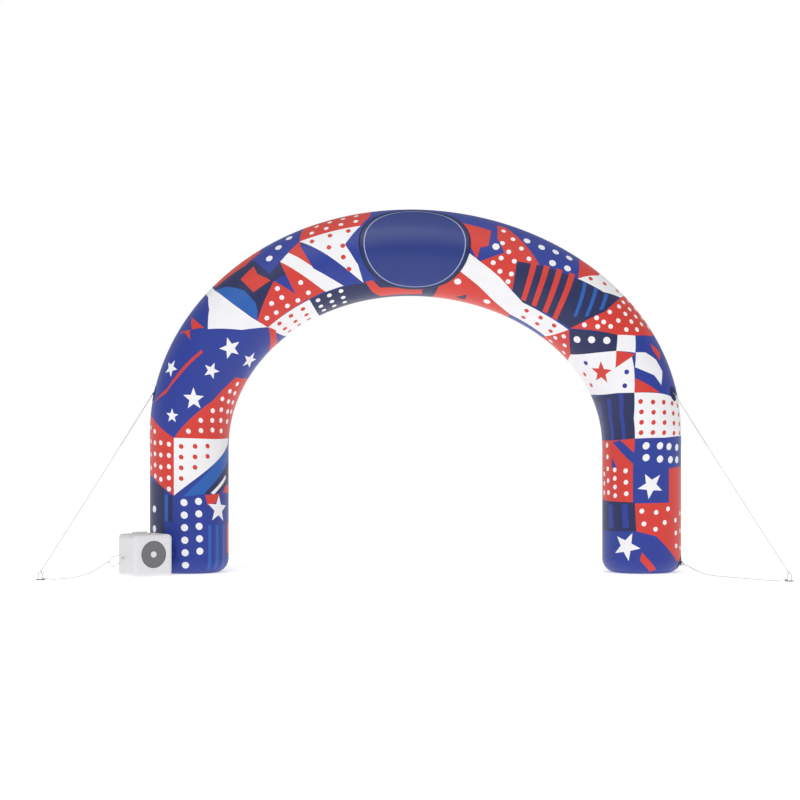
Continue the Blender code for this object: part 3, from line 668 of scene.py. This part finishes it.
def cloth_grid():
    """Points all over the flat front half, and the edges of its two long sides."""
    foot = foot_travels(FOOT_COLUMNS + 1)
    middle = np.linspace(FOOT_ROUND, TUBE_LENGTH - FOOT_ROUND, round(TUBE_LENGTH / GRID_ALONG))
    columns = np.concatenate([foot[:-1], middle, (TUBE_LENGTH - foot)[::-1][1:]])
    rows = np.linspace(-HALF_GIRTH, HALF_GIRTH, round(2 * HALF_GIRTH / GRID_ROUND) + 1)
    points = [(x, y) for x in columns for y in rows]
    edges = []
    for line in (rows[0], rows[-1]):
        base = len(points)
        points += [(x, line) for x in columns]
        edges += [(base + k, base + k + 1) for k in range(len(columns) - 1)]
    return points, edges


def cut_cloth(colours):
    """Flat front half of the print: points, triangles and a colour for each triangle."""
    points, edges = cloth_grid()
    outlines = [(colour, flat_outline(outline)) for colour, outline in print_shapes()]
    for colour, flat in outlines:
        base = len(points)
        for start, end in zip(flat, np.roll(flat, -1, axis=0)):
            steps = max(1, math.ceil(np.linalg.norm(end - start) / EDGE_STEP))
            points += [tuple(start + (end - start) * k / steps) for k in range(steps)]
        count = len(points) - base
        edges += [(base + k, base + (k + 1) % count) for k in range(count)]
    found = delaunay_2d_cdt([Vector(p) for p in points], edges, [], 0, SMALLEST_GAP)
    places = np.array([tuple(p) for p in found[0]])
    on_side = np.abs(np.abs(places[:, 1]) - HALF_GIRTH) < 2 * SMALLEST_GAP
    places[:, 1] = np.where(on_side, np.sign(places[:, 1]) * HALF_GIRTH, places[:, 1])
    faces = np.array([f for f in found[2] if len(f) == 3])
    middles = places[faces].mean(axis=1)
    tints = np.zeros((len(faces), 3))
    for colour, flat in outlines:
        tints[inside(flat, middles)] = colours[colour]
    return places, faces, tints


def behind(flat):
    """Flat places mirrored to the back of the tube."""
    return np.stack([flat[:, 0], 2 * HALF_GIRTH - flat[:, 1]], axis=1)


def foot_rings(flat):
    """The points round each foot, in an order that makes a face that looks down."""
    rings = []
    for end, step in ((0.0, 1), (TUBE_LENGTH, -1)):
        ring = np.flatnonzero(np.abs(flat[:, 0] - end) < SMALLEST_GAP / 10)
        rings.append(ring[np.argsort(flat[ring, 1])][::step].tolist())
    return rings


def make_skin(material, colours):
    """The printed skin of the whole tube: its front, the mirrored back, and the flats under the feet."""
    places, faces, tints = cut_cloth(colours)
    on_seam = np.abs(places[:, 1]) >= HALF_GIRTH
    mirrored = np.where(on_seam, np.arange(len(places)), np.cumsum(~on_seam) - 1 + len(places))
    flat = np.concatenate([places, behind(places[~on_seam])])
    caps = foot_rings(flat)
    cap_corners = sum(len(c) for c in caps)
    mesh = bpy.data.meshes.new("arch_skin")
    all_faces = [*faces.tolist(), *mirrored[faces][:, ::-1].tolist(), *caps]
    mesh.from_pydata(np.column_stack([flat, np.zeros(len(flat))]).tolist(), [], all_faces)
    corner_colours = np.concatenate([np.repeat(np.concatenate([tints, tints]), 3, axis=0),
                                     np.tile(colours["royal"], (cap_corners, 1))])
    layer = mesh.attributes.new("print", "FLOAT_COLOR", "CORNER")
    layer.data.foreach_set("color", np.column_stack([corner_colours, np.ones(len(corner_colours))]).ravel())
    front = places[faces].reshape(-1, 2)
    back = behind(front).reshape(-1, 3, 2)[:, ::-1].reshape(-1, 2)
    uvs = np.concatenate([front, back, *[flat[c] for c in caps]])
    mesh.uv_layers.new(name="cloth").data.foreach_set("uv", uvs.ravel())
    skin = wrap(new_object("arch_skin", mesh), material)
    corners = np.empty(len(skin.data.loops), int)
    skin.data.loops.foreach_get("vertex_index", corners)
    normals = tube_normals(flat[:, 0], flat[:, 1] / GIRTH)[corners]
    normals[-cap_corners:] = (0, 0, -1)
    skin.data.shade_smooth()
    skin.data.normals_split_custom_set(normals.tolist())
    settle(skin, "printed_cloth", "arch_tube")


def make_panel(material):
    """The oval crown panel: a thin closed disc wrapped on the tube, with its reach from the middle kept."""
    travel = TUBE_LENGTH / 2
    radius = float(sections(travel)[2][0])
    high, low = PANEL_LIFT + PANEL_THICK, PANEL_LIFT
    spots = [(0.0, 0.0, high, 0.0)]
    for lift, order in ((high, range(1, PANEL_RINGS + 1)), (low, range(PANEL_RINGS, 0, -1))):
        for reach in (r / PANEL_RINGS for r in order):
            edge_drop = 0.6 * PANEL_THICK * reach**24 if lift == high else 0
            for turn in (2 * math.pi * k / PANEL_SIDES for k in range(PANEL_SIDES)):
                spots.append((PANEL_HALVES[0] * reach * math.cos(turn),
                              PANEL_HALVES[1] * reach * math.sin(turn) / radius, lift - edge_drop, reach))
    spots.append((0.0, 0.0, low, 0.0))
    flat = [(travel + a, (math.radians(PANEL_ANGLE) + b) * GIRTH, c) for a, b, c, _ in spots]
    faces = [(0, 1 + k, 1 + (k + 1) % PANEL_SIDES) for k in range(PANEL_SIDES)]
    for r in range(2 * PANEL_RINGS - 1):
        inner, outer = 1 + r * PANEL_SIDES, 1 + (r + 1) * PANEL_SIDES
        for k in range(PANEL_SIDES):
            after = (k + 1) % PANEL_SIDES
            faces.append((inner + k, outer + k, outer + after, inner + after))
    last, base = len(spots) - 1, 1 + (2 * PANEL_RINGS - 1) * PANEL_SIDES
    faces += [(last, base + (k + 1) % PANEL_SIDES, base + k) for k in range(PANEL_SIDES)]
    mesh = bpy.data.meshes.new("panel_cloth")
    mesh.from_pydata(flat, [], faces)
    mesh.attributes.new("reach", "FLOAT", "POINT").data.foreach_set("value", [s[3] for s in spots])
    piece = wrap(new_object("panel_cloth", mesh), material)
    piece.data.shade_smooth()
    settle(piece, "panel_cloth", "crown_panel")


# ---------------------------------------------------------------- ropes

LEFT_LINE = [
    (-2.606, -0.646, 0.108), (-2.632, -0.664, 0.089), (-2.658, -0.683, 0.071), (-2.690, -0.708, 0.053),
    (-2.724, -0.735, 0.038), (-2.760, -0.763, 0.026), (-2.797, -0.790, 0.0165), (-2.836, -0.815, 0.010),
    (-2.876, -0.845, 0.006), (-2.912, -0.877, 0.0043), (-2.946, -0.914, 0.0043), (-2.978, -0.948, 0.0043),
    (-3.015, -0.971, 0.0085),
]
RIGHT_LINE = [
    (2.338, -0.176, 0.056), (2.362, -0.226, 0.042), (2.389, -0.283, 0.029), (2.418, -0.345, 0.018),
    (2.450, -0.410, 0.010), (2.486, -0.480, 0.0055), (2.524, -0.551, 0.0043), (2.566, -0.622, 0.0043),
    (2.615, -0.694, 0.0043), (2.670, -0.766, 0.0043), (2.726, -0.850, 0.0043), (2.784, -0.935, 0.0043),
    (2.845, -1.018, 0.0043), (2.908, -1.088, 0.0043), (2.968, -1.118, 0.0085),
]


def middle_of(node):
    """The middle of a CAD node's box."""
    low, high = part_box(node)
    return (low + high) / 2


def smooth_route(corners):
    """Evenly spaced points on a smooth curve through a route's own points, and its length."""
    corners = [Vector(p) for p in corners]
    corners = [corners[0] * 2 - corners[1], *corners, corners[-1] * 2 - corners[-2]]
    fine = []
    for a, b, c, d in zip(corners, corners[1:], corners[2:], corners[3:]):
        for k in range(12):
            t = k / 12
            fine.append(0.5 * (2 * b + (c - a) * t + (2 * a - 5 * b + 4 * c - d) * t**2
                               + (3 * b - a - 3 * c + d) * t**3))
    fine.append(corners[-2])
    places = np.array([tuple(p) for p in fine])
    lengths = np.concatenate([[0], np.cumsum(np.linalg.norm(np.diff(places, axis=0), axis=1))])
    wanted = np.linspace(0, lengths[-1], max(3, round(lengths[-1] / ROUTE_STEP) + 1))
    even = [Vector([np.interp(w, lengths, places[:, axis]) for axis in range(3)]) for w in wanted]
    return even, float(lengths[-1])


def rope_tree():
    """A laid rope: a lobed section swept along a route, turned by its lay."""
    tree = Tree("Laid rope", [("Geometry", "Geometry", None), ("Radius", "Float", 0.004),
                              ("Turns", "Float", 20.0), ("Strands", "Float", 3.0), ("Step", "Float", 0.003),
                              ("Groove", "Float", 0.22), ("Material", "Material", None)])
    given = tree.given
    even = tree.node("GeometryNodeResampleCurve", {"Curve": given["Geometry"], "Length": given["Step"]},
                     mode="LENGTH")
    share = tree.node("GeometryNodeSplineParameter").outputs["Factor"]
    tilt = tree.maths("MULTIPLY", tree.maths("MULTIPLY", share, given["Turns"]), 2 * math.pi)
    tilted = tree.node("GeometryNodeSetCurveTilt", {"Curve": even.outputs[0], "Tilt": tilt})
    ring = tree.node("GeometryNodeCurvePrimitiveCircle", {"Resolution": 18, "Radius": 1.0}, mode="RADIUS")
    round_share = tree.node("GeometryNodeSplineParameter").outputs["Factor"]
    lobes = tree.maths("MULTIPLY", tree.maths("MULTIPLY", round_share, given["Strands"]), math.pi)
    crown = tree.maths("ABSOLUTE", tree.maths("SINE", lobes))
    section = tree.maths("ADD", tree.maths("MULTIPLY", crown, given["Groove"]), 0.80)
    place = tree.node("GeometryNodeInputPosition").outputs[0]
    shaped = tree.node("GeometryNodeSetPosition", {
        "Geometry": ring.outputs[0],
        "Position": tree.scaled(place, tree.maths("MULTIPLY", section, given["Radius"])),
    })
    swept = tree.node("GeometryNodeCurveToMesh", {
        "Curve": tilted.outputs[0], "Profile Curve": shaped.outputs[0], "Fill Caps": True,
    })
    return tree.finish(swept.outputs[0])


def make_rope(name, points, radius, length, material, step=0.003):
    """A laid rope along points, as a plain mesh."""
    curve = bpy.data.curves.new(name, "CURVE")
    curve.dimensions = "3D"
    line = curve.splines.new("POLY")
    line.points.add(len(points) - 1)
    for spot, place in zip(line.points, points):
        spot.co = (*place, 1.0)
    rope = new_object(name, curve)
    modifier = rope.modifiers.new("lay", "NODES")
    modifier.node_group = bpy.data.node_groups.get("Laid rope") or rope_tree()
    set_input(modifier, "Radius", radius)
    set_input(modifier, "Turns", max(1.0, float(round(length / LAY_PITCH))))
    set_input(modifier, "Step", step)
    set_input(modifier, "Material", material)
    rope = plain_mesh(rope)
    rope.data.shade_smooth()
    return rope


def make_knot(name, node, direction, material):
    """A knot of a few rope turns where its CAD solid is."""
    side = direction.orthogonal().normalized()
    up = direction.cross(side)
    points = []
    for k in range(KNOT_POINTS):
        share = k / (KNOT_POINTS - 1)
        reach = KNOT_REACH * min(1.0, 6 * share + 0.2, 6 * (1 - share) + 0.2)
        turn = KNOT_TURNS * 2 * math.pi * share
        points.append(middle_of(node) + direction * (share - 0.5) * KNOT_LENGTH
                      + (side * math.cos(turn) + up * math.sin(turn)) * reach)
    knot = make_rope(name, points, KNOT_ROPE, KNOT_ROPE_LENGTH, material, step=0.002)
    return settle(knot, "rope", node)


def lay_rope(name, node, route, radius, knots, material):
    """One rope along its route, with its knots."""
    points, length = smooth_route(route)
    rope = make_rope(name, points, radius, length, material)
    settle(rope, "rope", node)
    pieces = [make_knot(f"knot_{knot}", solid, way, material) for knot, solid, way in knots]


def make_guy(side, radius, material):
    """A taut guy rope from its tie to its anchor, with both knots."""
    top, low = middle_of(f"guy_knot_top_{side}"), middle_of(f"guy_knot_low_{side}")
    way = (low - top).normalized()
    start, end = top + way * KNOT_END, low - way * KNOT_END
    route = []
    for share in (k / (GUY_ROUTE_POINTS - 1) for k in range(GUY_ROUTE_POINTS)):
        route.append(start.lerp(end, share) - Vector((0, 0, 4 * GUY_SAG * share * (1 - share))))
    knots = [(f"guy_{level}_{side}", f"guy_knot_{level}_{side}", way) for level in ("top", "low")]
    lay_rope(f"rope_guy_{side}", f"guy_rope_{side}", route, radius, knots,
             material)


def make_ground_line(side, line, radius, material):
    """A slack line along the ground to its anchor, with both knots. The left one holds the blower's loop."""
    near, far = middle_of(f"line_knot_{side}"), middle_of(f"line_knot_anchor_{side}")
    route = [Vector(p) + MIDDLE for p in line]
    pull = (route[0] - near).normalized()
    inner_way = Vector((1 if side == "left" else -1, 0, 0))
    knots = [(f"line_{side}", f"line_knot_{side}", pull),
             (f"anchor_{side}", f"line_knot_anchor_{side}", inner_way)]
    lay_rope(f"rope_ground_{side}", f"ground_line_{side}",
             [near + pull * KNOT_END, *route, far + inner_way * KNOT_END], radius, knots,
             material)


def make_ropes(radius, material):
    """The guy ropes and the ground lines, with their knots."""
    for side in ("left", "right"):
        make_guy(side, radius, material)
    for side, line in (("left", LEFT_LINE), ("right", RIGHT_LINE)):
        make_ground_line(side, line, radius, material)


# ---------------------------------------------------------------- studio

def make_camera(scene):
    """A level camera with a long lens, in front of the arch."""
    camera = bpy.data.cameras.new("camera")
    camera.sensor_width = 36.0
    camera.lens = CAMERA_LENS
    camera.clip_end = 200.0
    viewer = new_object("camera", camera)
    viewer.location = MIDDLE + CAMERA_PLACE
    viewer.rotation_euler = (math.radians(90), 0, 0)
    scene.camera = viewer


def make_air(scene):
    """White air: dim as light, and full white where the camera sees it."""
    world = bpy.data.worlds.new("studio")
    scene.world = world
    world.use_nodes = True
    tree = world.node_tree
    air = tree.nodes["Background"]
    air.inputs["Color"].default_value = (1, 1, 1, 1)
    ray = tree.nodes.new("ShaderNodeLightPath")
    tree.links.new(uneven(tree, ray.outputs["Is Camera Ray"], 0.30, 1.0), air.inputs["Strength"])


def make_floor():
    """A plain pale floor that glows a little, so that only contact shadows show on it."""
    mesh = bpy.data.meshes.new("floor")
    corners = [(x * FLOOR_HALF, y * FLOOR_HALF, 0) for x, y in ((-1, -1), (1, -1), (1, 1), (-1, 1))]
    mesh.from_pydata(corners, [], [(0, 1, 2, 3)])
    mesh.materials.append(surface("studio floor", (0.93, 0.93, 0.93), 0.9, 0.5, 0.0001, shift=0.01,
                                  constants={"Emission Color": (1, 1, 1, 1), "Emission Strength": 0.52}))
    new_object("floor", mesh)


def make_light(name, turn, strength, spread):
    """A soft sun, turned by some degrees and as wide as its spread."""
    light = bpy.data.lights.new(name, "SUN")
    light.energy = strength
    light.angle = math.radians(spread)
    lamp = new_object(name, light)
    lamp.location = MIDDLE + Vector((0, 0, 12))
    lamp.rotation_euler = [math.radians(t) for t in turn]


# ---------------------------------------------------------------- what a user would change

def colour_property(name, what, default):
    """A colour that a user can change."""
    return bpy.props.FloatVectorProperty(name=name, description=f"Colour of {what}", default=default,
                                         subtype="COLOR", min=0, max=1)


class ClothColours(bpy.types.PropertyGroup):
    """The printed cloth's colours."""

    red: colour_property("Red", "the red patches and dots", COLOURS["red"])
    royal: colour_property("Royal blue", "the cloth's ground", COLOURS["royal"])
    navy: colour_property("Navy", "the darkest patches", COLOURS["navy"])
    blue: colour_property("Mid blue", "the stripes", COLOURS["blue"])
    white: colour_property("White", "the white patches, dots and stars", COLOURS["white"])


class ArchSizes(bpy.types.PropertyGroup):
    """Ropes and light."""

    light_strength: bpy.props.FloatProperty(
        name="Light strength", description="Strength of the soft front light", default=1.1, min=0.0
    )
    rope_radius: bpy.props.FloatProperty(
        name="Rope radius", description="Half a rope's thickness", default=0.004, min=0.001, unit="LENGTH"
    )
    rope_colour: colour_property("Rope colour", "the ropes", linear(214, 214, 216))


# ---------------------------------------------------------------- operators

class ARCH_OT_stage(bpy.types.Operator):
    """Camera, floor and soft studio light"""

    bl_idname = "arch.make_stage"
    bl_label = "Camera and light"

    def execute(self, context):
        scene = context.scene
        scene.view_settings.view_transform = "Standard"
        make_camera(scene)
        make_air(scene)
        make_floor()
        make_light("front light", (42, 0, -12), scene.arch_sizes.light_strength, 50)
        make_light("top light", (8, 0, 0), 0.6, 70)
        return {"FINISHED"}


class ARCH_OT_ropes(bpy.types.Operator):
    """Guy ropes, ground lines, knots and the loop on the blower"""

    bl_idname = "arch.make_ropes"
    bl_label = "Ropes"

    def execute(self, context):
        sizes = context.scene.arch_sizes
        material = surface("laid rope", sizes.rope_colour, 0.75, 900, 0.0004, constants={"Sheen Weight": 0.2})
        make_ropes(sizes.rope_radius, material)
        paint(material, "eye_loop")
        return {"FINISHED"}


class ARCH_OT_cloth(bpy.types.Operator):
    """Printed cloth of the tube"""

    bl_idname = "arch.make_cloth"
    bl_label = "Printed cloth"

    def execute(self, context):
        cloth = context.scene.arch_colours
        colours = {name: tuple(getattr(cloth, name)) for name in COLOURS}
        material = surface("printed cloth", colours["royal"], 0.48, 6, 0.0002, shift=0.06, weave=150.0,
                           constants={"Sheen Weight": 0.15})
        make_skin(colour_from(material, "print"), colours)
        return {"FINISHED"}


class ARCH_OT_panel(bpy.types.Operator):
    """Crown panel with its light ring"""

    bl_idname = "arch.make_panel"
    bl_label = "Crown panel"

    def execute(self, context):
        material = surface("panel cloth", PANEL_BLUE, 0.42, 5, 0.0002, shift=0.08)
        make_panel(colour_from(material, "reach", PANEL_BANDS))
        return {"FINISHED"}


class ARCH_OT_fittings(bpy.types.Operator):
    """Finishes of the ties, anchors and blower"""

    bl_idname = "arch.finish_fittings"
    bl_label = "Ties, anchors and blower"

    def execute(self, context):
        ties = ("guy_tie_left", "guy_tie_right", "foot_tie")
        paint(surface("zinc wire", linear(178, 180, 184), 0.35, 120, 0.0001, constants={"Metallic": 0.9}),
              *[f"{t}_ring" for t in ties], "eye_ring", "anchor_hoop_left", "anchor_hoop_right")
        paint(surface("dark steel", linear(86, 86, 90), 0.5, 90, 0.0002, constants={"Metallic": 0.6}),
              "anchor_plate_left", "anchor_plate_right")
        paint(surface("white plastic", linear(226, 226, 228), 0.38, 240, 0.0001, shift=0.03,
                      constants={"Coat Weight": 0.15}),
              "blower_housing", "intake_hub", "blower_grip", "eye_base", "outlet_collar")
        paint(surface("grey grille", linear(112, 112, 114), 0.55, 500, 0.001, shift=0.15), "intake_grille")
        paint(surface("patch cloth", linear(24, 34, 90), 0.6, 300, 0.0003), *[f"{t}_patch" for t in ties])
        paint(surface("webbing", linear(26, 34, 84), 0.8, 900, 0.0005), *[f"{t}_tab" for t in ties])
        paint(surface("sleeve cloth", linear(24, 44, 120), 0.6, 60, 0.002), "inflation_sleeve")
        return {"FINISHED"}


OPERATORS = (ARCH_OT_stage, ARCH_OT_ropes, ARCH_OT_cloth, ARCH_OT_panel, ARCH_OT_fittings)


class ARCH_PT_panel(bpy.types.Panel):
    """Lists the arch's sizes, colours and steps"""

    bl_idname = "ARCH_PT_panel"
    bl_label = "Inflatable arch"
    bl_space_type = "VIEW_3D"
    bl_region_type = "UI"
    bl_category = "Arch"

    def draw(self, context):
        for group in (context.scene.arch_sizes, context.scene.arch_colours):
            for name in type(group).__annotations__:
                self.layout.prop(group, name)
        for step in OPERATORS:
            self.layout.operator(step.bl_idname)


CLASSES = (ClothColours, ArchSizes, *OPERATORS, ARCH_PT_panel)


def register():
    for kind in CLASSES:
        bpy.utils.register_class(kind)
    bpy.types.Scene.arch_colours = bpy.props.PointerProperty(type=ClothColours)
    bpy.types.Scene.arch_sizes = bpy.props.PointerProperty(type=ArchSizes)


def unregister():
    del bpy.types.Scene.arch_sizes
    del bpy.types.Scene.arch_colours
    for kind in reversed(CLASSES):
        bpy.utils.unregister_class(kind)


def main():
    """Makes everything in order."""
    register()
    bpy.ops.arch.make_stage()
    bpy.ops.arch.make_ropes()
    bpy.ops.arch.make_cloth()
    bpy.ops.arch.make_panel()
    bpy.ops.arch.finish_fittings()
    bpy.data.objects.remove(centre_line(), do_unlink=True)
    bpy.context.view_layer.update()


if __name__ == "__main__":
    main()
